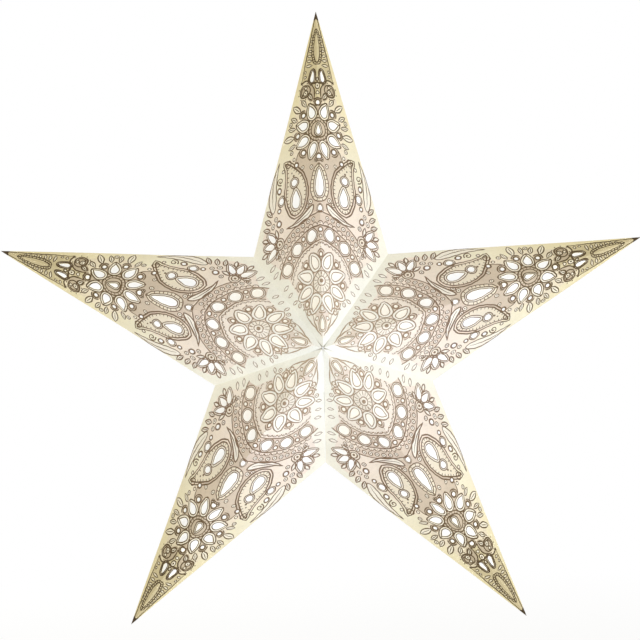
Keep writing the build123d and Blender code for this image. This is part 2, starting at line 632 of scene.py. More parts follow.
@dataclass(frozen=True)
class StarShape:
    """The folded star's main sizes, in millimetres and degrees.

    The outer ones are read from the frame. The lap is split on a grid of its own.
    """

    tip_radius: float
    corner_radius: float
    half_depth: float = 85.0
    half_angle: float = 36.0
    sheet: float = 0.35
    tissue: float = 0.1
    flange_width: float = 9.0
    flange_end_gap: float = 18.0
    lap_width: float = 7.0
    lap_tip_gap: float = 30.0
    lap_end_gap: float = 12.0
    lap_inset: float = 0.8
    lap_grid: float = 9.0
    liner_margin: float = 8.0
    seam_gap: float = 1.0
    seam_hairline: float = 0.3
    apex_slit: float = 1.0
    apex_slit_length: float = 13.0
    apex_hole_radius: float = 1.2
    apex_hole_ease: float = 1.04
    cord_hole_radius: float = 3.5
    cord_hole_behind: float = 6.5
    bow: float = 1.5
    wander: float = 0.5
    side_wander: float = 0.6
    pucker: float = 1.2
    pucker_reach: float = 5.0

    @staticmethod
    def from_frame() -> "StarShape":
        """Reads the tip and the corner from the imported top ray.

        Returns:
            The star's sizes.
        """
        low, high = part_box("ray_top")
        half_width = max(high[0], -low[0]) / MM
        return StarShape(high[2] / MM, half_width / math.sin(math.radians(StarShape.half_angle)))

    @property
    def tip(self) -> np.ndarray:
        """The tip of the ray that points up."""
        return np.array([0.0, 0.0, self.tip_radius])

    @property
    def apex(self) -> np.ndarray:
        """The front apex."""
        return np.array([0.0, -self.half_depth, 0.0])

    @property
    def to_side(self) -> np.ndarray:
        """The direction from the star's axis to the corner to the right of the ray that points up."""
        angle = math.radians(self.half_angle)
        return np.array([math.sin(angle), 0.0, math.cos(angle)])

    @property
    def into_ray(self) -> np.ndarray:
        """The direction from that corner's side into the ray, square to the plane between two rays."""
        angle = math.radians(self.half_angle)
        return np.array([-math.cos(angle), 0.0, math.sin(angle)])

    @property
    def corner(self) -> np.ndarray:
        """The corner to the right of the ray that points up."""
        return self.corner_radius * self.to_side

    @property
    def ridge_length(self) -> float:
        """From apex to tip, along the ridge."""
        return float(np.linalg.norm(self.tip - self.apex))

    def axes(self) -> tuple[np.ndarray, np.ndarray, np.ndarray]:
        """Finds the front right facet's directions.

        Returns:
            Along the ridge, away from it, and into the star.
        """
        along = (self.tip - self.apex) / self.ridge_length
        inward = unit(np.cross(along, self.corner - self.apex))
        return along, np.cross(inward, along), inward

    def flat(self, place: np.ndarray) -> Point:
        """Where a point of the front right facet lies on the flat sheet."""
        along, away, _ = self.axes()
        return float((place - self.apex) @ along), float((place - self.apex) @ away)

    def outline(self) -> Path:
        """The facet's outline on the flat sheet."""
        return sampled([(0.0, 0.0), (self.ridge_length, 0.0), self.flat(self.corner)])

    def inset_outline(self, margin: float) -> Path:
        """Moves the outline's two outer sides in, and keeps its ridge side.

        Args:
            margin: How far in.

        Returns:
            The outline's three corners: on the ridge near the apex, near the tip, and at the side.
        """
        corner = np.array(self.flat(self.corner))
        lines = []
        for end in (np.array([0.0, 0.0]), np.array([self.ridge_length, 0.0])):
            way = unit(corner - end)
            square = np.array([way[1], -way[0]])
            lines.append((end + margin * (square if square[1] <= 0 else -square), way))
        (first, first_way), (second, second_way) = lines
        share = np.linalg.solve(np.column_stack([first_way, -second_way]), second - first)[0]
        near, far = (start - way * start[1] / way[1] for start, way in lines)
        return [tuple(near), tuple(far), tuple(first + first_way * share)]

    def shares(self, flat: np.ndarray) -> tuple[np.ndarray, np.ndarray, np.ndarray]:
        """Finds how near flat points are to the facet's corners.

        Args:
            flat: The points.

        Returns:
            Their nearness to the tip, the apex and the corner, in shares that add to one.
        """
        corner = self.flat(self.corner)
        to_corner = flat[:, 1] / corner[1]
        to_tip = (flat[:, 0] - to_corner * corner[0]) / self.ridge_length
        return to_tip, 1 - to_tip - to_corner, to_corner

    def fold(self, flat: np.ndarray, quarter: Quarter, turn: int, depth: float = 0.0,
             seam: bool = False) -> np.ndarray:
        """Folds flat points into the star, with the soft bow and wander of real paper.

        Args:
            flat: Points on the flat facet.
            quarter: Which facet of the ray they are on.
            turn: The ray's place, clockwise from the one that points up.
            depth: How far inside the outer surface they lie.
            seam: Whether the facet ends at the open seam, a hairline short of its neighbour.

        Returns:
            The places in the star, in metres.
        """
        along, away, inward = self.axes()
        to_tip, to_apex, to_corner = self.shares(flat)
        on_ridge, on_edge, on_valley = flat[:, 1] < ON_RIDGE, to_apex < ON_CREASE, to_tip < ON_CREASE
        right, front = quarter.value
        # The inner surface meets each crease where its two sides mitre
        slide = np.where(on_ridge, -depth * inward[0] / away[0], 0.0)
        slide = np.where(on_edge & ~on_ridge, -depth * inward[1] / away[1], slide)
        back = np.where(on_ridge & on_edge, -(depth * inward[1] + slide * away[1]) / along[1], 0.0)
        places = self.apex + np.outer(flat[:, 0] + back, along) + np.outer(flat[:, 1] + slide, away)
        places += np.outer(depth + self.bow_of(flat, quarter, turn), inward)
        # The ridge and the side edge wander, most where a product of two shares peaks at 1 / 4
        phase = random.Random(31 * turn + front).uniform(0, ANY_PHASE)
        places[:, 1] += 4 * to_tip * to_apex * self.wander * np.sin(7 * to_tip + phase)
        phase = random.Random(57 * turn + right).uniform(0, ANY_PHASE)
        sway = 4 * to_tip * to_corner * self.wander * self.side_wander * np.sin(6 * to_tip + phase)
        places += np.outer(sway, unit(np.cross([0.0, 1.0, 0.0], self.tip - self.corner)))
        # The valley opens into a slit at the front apex, and to a hairline along the open seam
        inside = np.cross(self.corner - self.apex, inward)
        slit = self.apex_slit if front > 0 else 0.0
        parted = slit * np.clip(1 - np.hypot(flat[:, 0], flat[:, 1]) / self.apex_slit_length, 0, 1)
        parted = np.maximum(parted, self.seam_hairline if seam else 0.0) * on_valley
        places += np.outer(parted / 2, inside / (inside @ self.into_ray))
        places[on_ridge, 0] = 0.0
        places[on_edge, 1] = 0.0
        return turned(places * np.array([right, front, 1.0]), turn) * MM

    def bow_of(self, flat: np.ndarray, quarter: Quarter, turn: int) -> np.ndarray:
        """Finds how far the paper bows inwards, in its middle and in puckers at the apex.

        Args:
            flat: Points on the flat facet.
            quarter: Which facet of the ray they are on.
            turn: The ray's place.

        Returns:
            The bow at each point, in millimetres.
        """
        to_tip, to_apex, to_corner = self.shares(flat)
        right, front = quarter.value
        chance = random.Random(17 * turn + 3 * right + front)
        bow = self.bow * chance.choice((-1, 1)) * chance.uniform(0.5, 1.0)
        phase, waves = chance.uniform(0, ANY_PHASE), chance.uniform(1.2, 2.1)
        ripple = 0.35 * np.sin(waves * 2 * math.pi * to_tip + phase)
        ripple = ripple + 0.2 * np.sin(9 * to_corner + 2 * phase)
        reach = np.hypot(flat[:, 0], flat[:, 1])
        corner = self.flat(self.corner)
        spoke = np.arctan2(flat[:, 1], flat[:, 0]) / math.atan2(corner[1], corner[0])
        folds = np.sin(2 * math.pi * spoke * chance.choice((1, 1.5)))
        pucker = self.pucker * folds * np.sin(math.pi * spoke)
        pucker = pucker * reach / 4 * np.exp(-reach / self.pucker_reach)
        # The product of the three shares peaks at 1 / 27
        return bow * 27 * to_tip * to_apex * to_corner * (1 + ripple) + pucker


class Motif(Protocol):
    """One part of the pattern."""

    def draw(self, board: Board) -> None:
        """Draws it on the board."""


@dataclass(frozen=True)
class Ground:
    """The field of colour under the whole print, which leaves plain paper at the sides."""

    edge: tuple[Point, ...] = (
        (9, 0), (20, 9), (34, 15), (46, 25), (60, 32), (74, 42), (86, 53), (96, 66), (108, 75),
        (120, 74), (134, 68), (146, 60), (158, 50), (172, 44), (184, 40), (190, 33), (200, 32),
        (212, 34), (226, 31), (238, 25), (247, 22), (258, 20), (266, 16), (290, 9), (326, 2),
        (330, -3), (9, -3),
    )

    def draw(self, board: Board) -> None:
        """Fills the ground."""
        board.fill([(float(x), float(y)) for x, y in self.edge], Print.GROUND)


@dataclass(frozen=True)
class TipSpine:
    """The dark tip: a long seed between rows of small seeds, under a solid point."""

    shape: StarShape
    foot: tuple[Point, ...] = ((254.5, -1.0), (253.5, 6.0), (260.0, 12.0), (261.0, 15.5), (258.5, 20.0))
    blade_share: float = 0.76
    rim_steps: int = 26
    seed_at: float = 291.0
    seed: Pair = (32.0, 6.4)
    seed_rim: float = 2.4
    teeth: tuple[float, ...] = (0.4, 2.0, 1.9, 0.75)
    bud_end: float = 272.0
    bud_room: float = 13.0
    seed_room: float = 5.6
    seed_share: float = 0.52
    pitch: float = 4.7
    edge_gap: float = 1.4
    shortest: float = 1.6
    blade: tuple[float, ...] = (2.6, 80, 0.6)
    point_from: float = 318.5
    point_width: float = 4.0

    def draw(self, board: Board) -> None:
        """Draws the tip.

        Args:
            board: The board.
        """
        corner, far = self.shape.flat(self.shape.corner), self.shape.ridge_length
        slope = self.blade_share * corner[1] / (far - corner[0])
        foot = stem(*self.foot[:3]) + stem(*self.foot[2:])[1:]
        alongs = np.linspace(foot[-1][0] + 2, far - 1, self.rim_steps)
        rim = [(along, slope * (far - along)) for along in alongs]
        board.fill([*foot, *rim, (far + 1, -1.0)], Print.DEEP)
        seed = placed(petal(*self.seed), (self.seed_at, 0.0))
        board.outline_shape(seed, 0.0, self.seed_rim, width=0.8)
        board.comb(seed, *self.teeth)
        start, wide = self.point_from, self.point_width
        board.fill([(start, -1.0), (far + 1, -1.0), (far + 1, wide), (start, wide)], Print.INK)
        board.line(rim, 1.0, taper=0.5)
        for along in np.arange(foot[-1][0] + 6, self.point_from - 12, self.pitch):
            edge = slope * (far - along)
            near = self.bud_room if along < self.bud_end else min(self.seed_room, self.seed_share * edge)
            length = edge - near - self.edge_gap
            if length > self.shortest:
                board.blade((along, near + 0.5 * length), length, *self.blade)
        board.line([*foot, rim[0]], 1.2)


@dataclass(frozen=True)
class Collar:
    """Between the tip and the flower: a vase on the ridge, with buds, curls and beads."""

    shade: tuple[Point, ...] = (
        (237.0, -1.0), (237.0, 9.0), (244.0, 16.0), (251.0, 11.0), (258.0, 10.0), (258.0, -1.0))
    vase: tuple[Point, ...] = (
        (239.0, -1.0), (239.0, 4.6), (243.0, 4.2), (247.0, 3.0), (251.0, 4.6), (255.0, 8.4),
        (258.0, 9.6), (260.0, -1.0))
    vase_side: tuple[Point, ...] = ((239.0, 5.0), (247.0, 1.0), (256.0, 9.0))
    vase_foot: tuple[Point, ...] = ((239.0, -1.0), (239.0, 2.0), (239.0, 5.0))
    bud_at: Point = (262.0, 6.4)
    bud: Pair = (11.5, 4.4)
    bud_tilt: float = -10.0
    ridge_beads: tuple[Disc, ...] = ((251.5, 0.0, 2.9), (245.0, 0.0, 1.7), (257.5, 0.0, 1.9))
    curl_at: Point = (249.5, 15.6)
    curl_radius: float = 6.2
    curl_beads: tuple[Disc, ...] = ((247.4, 15.2, 2.5), (252.6, 14.4, 1.7))

    def draw(self, board: Board) -> None:
        """Draws the collar.

        Args:
            board: The board.
        """
        board.fill(list(self.shade), Print.SHADE)
        board.fill(list(self.vase), Print.DEEP)
        board.line(stem(*self.vase_side), 1.2)
        board.line(list(self.vase_foot), 1.0)
        bud = placed(petal(*self.bud), self.bud_at, self.bud_tilt)
        board.fill(grown(bud, 3.6), Print.SHADE)
        board.cut(bud, 2.0)
        board.beads(*self.ridge_beads)
        curl = circle(self.curl_at, self.curl_radius)
        board.fill(curl, Print.SHADE)
        board.line(curl, 1.1, closed=True)
        board.beads(*self.curl_beads)
        board.line(arc(self.curl_at, 4.4, 20, 150), 0.9)
        for angle in range(-60, 181, 40):
            board.dot(polar(self.curl_at, 8.2, angle), 0.7)
        board.blade((242.5, 9.6), 9.4, 4.6, 34)


@dataclass(frozen=True)
class PetalRing:
    """A ring of cut petals on the ridge, with a scallop between each two."""

    at: Point
    rim: float
    scallop_at: float
    scallop: float
    stroke: float
    petals: int = 8
    ring_radius: float = 21.0
    petal: Pair = (13.5, 7.4)

    def draw_ring(self, board: Board) -> None:
        """Draws the ring, and after each petal what stands around it.

        Args:
            board: The board.
        """
        for step in range(self.petals):
            angle = (step + 0.5) * 360 / self.petals
            between = angle - 180 / self.petals
            scallop = polar(self.at, self.scallop_at, between)
            board.fill(circle(scallop, self.scallop), Print.SHADE)
            board.line(arc(scallop, self.scallop, between - 66, between + 66), self.stroke)
            board.cut(placed(petal(*self.petal), polar(self.at, self.ring_radius, angle), angle), self.rim)
            self.draw_around(board, angle, between)

    def draw_around(self, board: Board, angle: float, between: float) -> None:
        """Draws the marks at one petal's angle and between it and the petal before it."""


@dataclass(frozen=True)
class Flower(PetalRing):
    """The large flower on the ridge: a heart, a ring of cut petals and a fringe of leaves."""

    at: Point = (208.0, 0.0)
    rim: float = 2.7
    scallop_at: float = 25.6
    scallop: float = 5.3
    stroke: float = 1.0
    heart: Pair = (11.0, 6.0)

    def draw(self, board: Board) -> None:
        """Draws the flower.

        Args:
            board: The board.
        """
        for radius in (25.0, 11.4):
            board.fill(circle(self.at, radius), Print.SHADE)
        board.cut(placed(petal(*self.heart), self.at), 2.0)
        board.outline_shape(circle(self.at, 8.6), 0.0, 2.8, width=1.0)
        board.rays(self.at, 9.0, 11.0, 18)
        self.draw_ring(board)

    def draw_around(self, board: Board, angle: float, between: float) -> None:
        """Draws the marks round one petal.

        Args:
            board: The board.
            angle: The petal's angle in degrees.
            between: The angle half way to the petal before it.
        """
        board.dot(polar(self.at, self.ring_radius + 8.6, angle), 0.9)
        board.dot(polar(self.at, 14.6, between), 1.1)
        board.bead(polar(self.at, 26.2, between), 3.3, pierced=True)
        if 20 < between < 130:
            board.blade(polar(self.at, 37.4, between), 13.4, 6.0, between, 0.9)
            for aside in (-15, 15):
                board.blade(polar(self.at, 34.9, between + aside), 9.4, 4.2, between + 0.6 * aside, 0.85)
        if 60 < angle < 130:
            board.bead(polar(self.at, 37.5, angle), 2.0)


@dataclass(frozen=True)
class Fan(PetalRing):
    """The fan of cut petals nearest the apex, round a small rosette."""

    at: Point = (62.0, 0.0)
    rim: float = 3.3
    scallop_at: float = 25.4
    scallop: float = 4.9
    stroke: float = 0.9

    def draw(self, board: Board) -> None:
        """Draws the fan.

        Args:
            board: The board.
        """
        board.fill(circle(self.at, 25.0), Print.SHADE)
        board.fill(circle(self.at, 11.0), Print.TINT)
        board.outline_shape(circle(self.at, 4.0), 0.0, 6.0, width=1.0)
        board.dot(self.at, 1.8)
        board.rays(self.at, 5.0, 9.4, 15)
        board.scales(self.at, 34.4, 2.2, 0, 84)
        self.draw_ring(board)

    def draw_around(self, board: Board, angle: float, between: float) -> None:
        """Draws the marks beside one petal.

        Args:
            board: The board.
            angle: The petal's angle in degrees.
            between: The angle half way to the petal before it.
        """
        board.dot(polar(self.at, 14.3, between), 1.1)
        board.bead(polar(self.at, 25.6, between), 2.9, pierced=between != 180.0)
        board.dot(polar(self.at, 31.8, between), 0.9)


@dataclass(frozen=True)
class Spear:
    """The spear leaf on the ridge, cut out and bordered by a comb."""

    at: Point = (156.0, 0.0)
    leaf: Pair = (26.0, 10.0)
    shade_near: tuple[Point, ...] = ((130.0, -1.0), (186.0, -1.0), (188.0, 12.0))
    shade_side: tuple[Point, ...] = ((194.0, 20.5), (190.0, 28.0), (179.0, 30.0))
    shade_far: tuple[Point, ...] = ((160.0, 22.0), (142.0, 24.0), (128.0, 14.0))
    side_line: tuple[Point, ...] = ((195.0, 20.0), (190.0, 28.0), (178.0, 30.0))
    beads: tuple[Disc, ...] = ((140.0, 11.5, 2.1), (173.0, 9.0, 2.1), (179.0, 3.0, 2.1))

    def draw(self, board: Board) -> None:
        """Draws the spear.

        Args:
            board: The board.
        """
        board.fill([*self.shade_near, *stem(*self.shade_side), *self.shade_far], Print.SHADE)
        board.line(stem(*self.side_line), 0.9, taper=0.5)
        blade = placed(petal(*self.leaf), self.at)
        board.fill(grown(blade, 5.6), Print.TINT)
        board.cut(blade, 2.3, 5.6)
        board.comb(blade, 2.9, 5.2, 2.8, 0.8)
        board.beads(*self.beads)


@dataclass(frozen=True)
class Mango:
    """The mango drop beside the spear: a bent drop round a cut-out, with a curled tail."""

    body: tuple[Point, ...] = ((131.0, 31.0), (166.0, 23.0), (185.0, 43.0))
    radius: float = 13.0
    widest: float = 0.34
    eye_at: Point = (147.0, 29.5)
    eye: Pair = (18.0, 10.0)
    eye_tilt: float = 2.0
    holes: tuple[Point, ...] = ((163.5, 31.0), (150.0, 48.0))
    hole_radius: float = 3.2
    curl_at: Point = (184.0, 38.5)
    beads: tuple[Disc, ...] = ((186.5, 31.0, 1.7), (175.5, 20.5, 1.9))

    def draw(self, board: Board) -> None:
        """Draws the mango.

        Args:
            board: The board.
        """
        body = horn(*self.body, self.radius, self.widest)
        board.fill(body, Print.TINT)
        board.outline_shape(body, 0.0, 2.6, width=1.2)
        board.comb(body, -2.8, -0.4, 3.2, 0.75)
        board.cut(placed(petal(*self.eye), self.eye_at, self.eye_tilt), 2.6)
        for place in self.holes:
            board.cut(circle(place, self.hole_radius), 2.0)
        board.line(spiral(self.curl_at, 5.0, 70, 1.4), 1.1)
        board.bead((180.5, 27.5), 2.8, pierced=True)
        board.beads(*self.beads)
        board.dot((170.5, 31.5), 1.2)
        board.dot((174.0, 33.5), 0.9)


@dataclass(frozen=True)
class SideHorns:
    """Curled leaves that rise along the side edge, outside the mango."""

    outer: tuple[Point, ...] = ((141.0, 60.0), (163.0, 63.0), (189.0, 50.0))
    radius: float = 4.4
    vein: tuple[Point, ...] = ((145.0, 60.0), (163.0, 62.0), (180.0, 55.0))
    curl_at: Point = (170.0, 50.0)
    curl_radius: float = 4.4
    pierced: tuple[Disc, ...] = ((160.5, 51.5, 3.0), (141.5, 51.0, 2.6))
    beads: tuple[Disc, ...] = ((134.0, 55.5, 2.2), (178.5, 46.0, 1.7))
    leaves: tuple[tuple[float, ...], ...] = ((134.0, 66.5, 60), (141.5, 64.8, 46), (126.5, 68.5, 74))

    def draw(self, board: Board) -> None:
        """Draws the side leaves.

        Args:
            board: The board.
        """
        outer = horn(*self.outer, self.radius)
        board.fill(outer, Print.PALE)
        board.outline_shape(outer, 0.0, width=0.9)
        board.line(stem(*self.vein), 0.7, taper=0.6)
        board.line(spiral(self.curl_at, self.curl_radius, 200, -1.5), 1.0)
        board.beads(*self.pierced, pierced=True)
        board.beads(*self.beads)
        for along, across, tilt in self.leaves:
            board.blade((along, across), 9.5, 4.4, tilt)


@dataclass(frozen=True)
class Garland:
    """The band of round holes that hangs across the ray's widest part."""

    centre: Point = (62.0, 0.0)
    ring_radius: float = 46.0
    hole_radius: float = 5.2
    angles: tuple[float, ...] = (13.0, 39.0, 65.0)
    bead_angles: tuple[float, ...] = (0.0, 26.0, 52.0)
    inner: float = 38.6
    outer: float = 53.4
    fringe: Pair = (56.5, 65.5)
    fringe_beads: int = 9
    leaves: tuple[tuple[Point, float, float], ...] = (
        ((87.5, 61.5), 126, 9.0), ((80.5, 57.0), 128, 9.0), ((65.0, 44.5), 126, 7.4),
        ((57.0, 38.5), 124, 7.0), ((49.0, 32.5), 122, 6.4))

    def draw(self, board: Board) -> None:
        """Draws the garland.

        Args:
            board: The board.
        """
        board.band(self.centre, self.inner, self.outer, -4, 75)
        board.band(self.centre, *self.fringe, -4, 46)
        for radius in (self.inner, self.outer):
            board.line(arc(self.centre, radius, -4, 76), 1.1)
        board.line(arc(self.centre, self.fringe[1], -2, 44), 0.9)
        board.scales(self.centre, 54.6, 2.9, -3, 66)
        for step in range(self.fringe_beads):
            board.bead(polar(self.centre, 61.2, 8.0 + 6.2 * step), 2.1)
        for angle in self.angles:
            board.cut(circle(polar(self.centre, self.ring_radius, angle), self.hole_radius), 2.0)
        for angle in self.bead_angles:
            board.bead(polar(self.centre, self.ring_radius + 3.0, angle), 2.6, pierced=True)
            board.bead(polar(self.centre, self.ring_radius - 3.4, angle), 1.7)
        for place, tilt, length in self.leaves:
            board.blade(place, length, 0.42 * length, tilt, 0.75)


@dataclass(frozen=True)
class Crescents:
    """Crescents between the garland and the mango, under the spear."""

    blade: tuple[Point, ...] = ((136.5, 8.5), (121.0, 20.0), (121.5, 43.0))
    radius: float = 3.4
    vein: tuple[Point, ...] = ((133.0, 11.5), (123.5, 21.0), (122.3, 37.0))

    def draw(self, board: Board) -> None:
        """Draws the crescents.

        Args:
            board: The board.
        """
        blade = horn(*self.blade, self.radius)
        board.fill(blade, Print.PALE)
        board.outline_shape(blade, 0.0, width=1.2)
        board.line(stem(*self.vein), 0.7, taper=0.6)
        board.bead((131.0, 0.0), 4.2, pierced=True)
        board.bead((137.0, 15.5), 2.0)


@dataclass(frozen=True)
class Spray:
    """The spray of cut leaves that points at the corner, with printed leaves beside it."""

    at: Point = (109.0, 52.0)
    ring_radius: float = 13.0
    leaf: Pair = (13.0, 5.8)
    angles: tuple[float, ...] = (50.0, 90.0, 130.0)
    printed: tuple[Pair, ...] = ((14.0, 11.0), (70.0, 20.0), (110.0, 20.0), (164.0, 11.0))
    beads: tuple[Disc, ...] = ((121.5, 49.0, 2.0), (128.0, 59.5, 2.4), (97.0, 52.5, 2.0))

    def draw(self, board: Board) -> None:
        """Draws the spray.

        Args:
            board: The board.
        """
        board.band(self.at, 0.6, 15.0, 32, 148)
        board.fill(circle(self.at, 6.0), Print.TINT)
        board.outline_shape(circle(self.at, 3.6), 0.0, 2.4, width=1.0)
        board.dot(self.at, 1.4)
        for angle in self.angles:
            board.cut(placed(petal(*self.leaf), polar(self.at, self.ring_radius, angle), angle), 2.3)
        for angle, reach in self.printed:
            board.blade(polar(self.at, reach, angle), 9.0, 3.9, angle)
        board.bead((128.5, 51.5), 3.2, pierced=True)
        board.beads(*self.beads)


@dataclass(frozen=True)
class Root:
    """The narrow end of the print at the apex: a cut drop between curls."""

    at: Point = (23.0, 0.0)
    petal: Pair = (11.0, 5.4)
    shade: tuple[Point, ...] = ((13.0, -1.0), (34.0, -1.0), (34.0, 9.0), (22.0, 6.0))
    inner_stem: tuple[Point, ...] = ((13.5, 2.0), (20.0, 10.0), (33.0, 11.0))
    outer_stem: tuple[Point, ...] = ((12.0, 1.0), (24.0, 15.0), (46.0, 24.0))
    beads: tuple[Disc, ...] = ((28.5, 6.9, 1.8), (45.0, 27.5, 2.0))

    def draw(self, board: Board) -> None:
        """Draws the root.

        Args:
            board: The board.
        """
        board.fill(list(self.shade), Print.SHADE)
        board.cut(placed(petal(*self.petal), self.at), 2.1)
        board.line(spiral((36.0, 15.0), 4.2, -100, 1.5), 1.0)
        board.line(stem(*self.inner_stem), 1.0, taper=0.5)
        board.line(stem(*self.outer_stem), 0.9, taper=0.5)
        board.beads(*self.beads)


@dataclass
class StarPattern:
    """The whole pattern of one facet."""

    shape: StarShape
    cord_hole_steps: int = 28

    def motifs(self) -> tuple[Motif, ...]:
        """The pattern's motifs, in the order in which they are drawn."""
        return (Ground(), Collar(), Flower(), Spear(), Mango(), SideHorns(), Garland(), Crescents(),
                Spray(), Fan(), Root(), TipSpine(self.shape))

    def lay_out(self, cord_hole: bool = False) -> FlatSheet:
        """Draws every motif on a board and splits it.

        Args:
            cord_hole: Whether the facet also has half of the cord's hole, behind the open seam.

        Returns:
            The flat sheet.
        """
        board = Board(self.shape.outline())
        apex_hole = circle((0.0, 0.0), self.shape.apex_hole_radius * self.shape.apex_hole_ease)
        board.fill(apex_hole, Print.HOLE)
        drawn_from = len(board.points)
        for motif in self.motifs():
            motif.draw(board)
        board.wander(drawn_from)
        if cord_hole:
            board.fill(self.cord_hole_path(), Print.HOLE)
        return board.split()

    def cord_hole_path(self) -> Path:
        """Finds the cord's hole where it meets a facet.

        Returns:
            Its edge on the flat sheet.
        """
        shape = self.shape
        _, _, inward = shape.axes()
        path = []
        for step in range(self.cord_hole_steps):
            spot = 2 * math.pi * step / self.cord_hole_steps
            behind = shape.cord_hole_behind + shape.cord_hole_radius * math.sin(spot)
            aside = -shape.into_ray * shape.cord_hole_radius * math.cos(spot)
            start = np.array([0.0, -behind, 0.0]) + aside
            reach = (shape.apex - start) @ inward / (shape.to_side @ inward)
            path.append(shape.flat(start + shape.to_side * reach))
        return path


def linear(steps: Steps) -> Colour:
    """Turns a colour of 0 to 255 steps, as seen on a screen, into a shader's linear colour."""
    shares = (step / 255 for step in steps)
    return tuple(((share + 0.055) / 1.055) ** 2.4 if share > 0.04045 else share / 12.92 for share in shares)


@dataclass
class NodeBench:
    """Adds nodes to the tree of a material or of the world."""

    tree: bpy.types.NodeTree

    def put(self, node: bpy.types.Node, inputs: dict) -> None:
        """Sets a node's inputs.

        Args:
            node: The node.
            inputs: For each input's name or place, a constant, or an output that is linked to it.
        """
        for key, value in inputs.items():
            if isinstance(value, bpy.types.NodeSocket):
                self.tree.links.new(value, node.inputs[key])
            else:
                node.inputs[key].default_value = value

    def add(self, kind: str, inputs: dict, output: str | int, operation: str = "") -> bpy.types.NodeSocket:
        """Adds a node.

        Args:
            kind: Its kind.
            inputs: Its inputs, as put takes them.
            output: The name or place of the output that is wanted.
            operation: What it does, where its kind has several operations.

        Returns:
            That output.
        """
        node = self.tree.nodes.new(f"ShaderNode{kind}")
        if operation:
            node.operation = operation
        self.put(node, inputs)
        return node.outputs[output]

    def ranged(self, value: bpy.types.NodeSocket, source: Pair, result: Pair) -> bpy.types.NodeSocket:
        """Maps a value from one range to another.

        Args:
            value: The value.
            source: The range that it has.
            result: The range that it gets.

        Returns:
            The mapped value.
        """
        ends = dict(zip(("From Min", "From Max", "To Min", "To Max"), source + result))
        return self.add("MapRange", {"Value": value, **ends}, "Result")

    def seen_directly(self) -> bpy.types.NodeSocket:
        """Adds a value that is 1 where the camera sees a surface straight, in gloss or through glass.

        Returns:
            The value.
        """
        total = self.add("LightPath", {}, "Is Camera Ray")
        rays = total.node.outputs
        for name in ("Is Glossy Ray", "Is Transmission Ray"):
            total = self.add("Math", {0: total, 1: rays[name]}, 0, "MAXIMUM")
        return total

    def mix(self, share: bpy.types.NodeSocket, first: bpy.types.NodeSocket, second: bpy.types.NodeSocket,
            end: str) -> None:
        """Mixes two shaders into the tree's last node.

        Args:
            share: The second one's share.
            first: The first shader.
            second: The second shader.
            end: The last node's name.
        """
        mixed = self.add("MixShader", {"Fac": share, 1: first, 2: second}, "Shader")
        self.put(self.tree.nodes[end], {"Surface": mixed})


@dataclass(frozen=True)
class Grain:
    """A noise that darkens a finish: its size for each metre, its greys, and where they lie."""

    scale: float
    detail: float
    rough: float
    greys: Pair
    between: Pair
    distortion: float = 0.0


@dataclass(frozen=True)
class Finish:
    """A matt grainy finish, whose colour changes from the star's centre to its tips.

    The bump is given by its strength and its depth in metres, and follows the last grain.
    """

    name: str
    colours: tuple[Steps, ...]
    grains: tuple[Grain, ...]
    bump: Pair
    roughness: float
    specular: float
    stops: tuple[float, ...] = (0.06, 0.36, 0.68, 0.97)
    # Painted glow: an emission that a finish gives off although it is no lamp
    painted_glow: float = 0.0
    painted_glow_tint: Colour = (1.0, 0.98, 0.95)

    def material(self, reach: float) -> bpy.types.Material:
        """Makes the material.

        Args:
            reach: The star's tip radius in metres, over which the colour changes.

        Returns:
            The material.
        """
        made = bpy.data.materials.new(self.name)
        made.use_nodes = True
        bench = NodeBench(made.node_tree)
        place = bench.add("TexCoord", {}, "Object")
        colour = self.radial(bench, place, reach)
        for grain in self.grains:
            value = bench.add("TexNoise", {
                "Scale": grain.scale, "Detail": grain.detail, "Roughness": grain.rough,
                "Distortion": grain.distortion, "Vector": place}, "Fac")
            grey = bench.ranged(value, grain.between, grain.greys)
            colour = bench.add("VectorMath", {0: colour, "Scale": grey}, "Vector", "SCALE")
        strength, distance = self.bump
        bump = bench.add("Bump", {"Strength": strength, "Distance": distance, "Height": value}, "Normal")
        shader = bench.tree.nodes["Principled BSDF"]
        bench.put(shader, {"Base Color": colour, "Normal": bump, "Roughness": self.roughness,
                           "Specular IOR Level": self.specular})
        # Painted glow: the surface gives off a little light of its own, standing in for light from behind
        if self.painted_glow:
            bench.put(shader, {"Emission Color": (*self.painted_glow_tint, 1.0), "Emission Strength": self.painted_glow})
        return made

    def radial(self, bench: NodeBench, place: bpy.types.NodeSocket, reach: float) -> bpy.types.NodeSocket:
        """Adds the colour that changes with the distance from the star's axis.

        Args:
            bench: The material's nodes.
            place: The object's own coordinates.
            reach: The distance that counts as 1, in metres.

        Returns:
            The colour.
        """
        across = (1 / reach, 0.0, 1 / reach)
        flat = bench.add("VectorMath", {0: place, 1: across}, "Vector", "MULTIPLY")
        length = bench.add("VectorMath", {0: flat}, "Value", "LENGTH")
        colour = bench.add("ValToRGB", {"Fac": length}, "Color")
        elements = colour.node.color_ramp.elements
        while len(elements) < len(self.colours):
            elements.new(0.5)
        for element, stop, steps in zip(elements, self.stops, self.colours):
            element.position = stop
            element.color = (*linear(steps), 1.0)
        return colour


def clouds_and_fibres(cloud: float, fibre: float) -> tuple[Grain, Grain]:
    """The grains of handmade paper, by how much its clouds and its fibres darken it."""
    return (Grain(26.0, 4.0, 0.55, (1 - cloud, 1.0), (0.35, 0.6)),
            Grain(520.0, 3.0, 0.6, (1 - fibre, 1.0), (0.36, 0.52), 1.6))


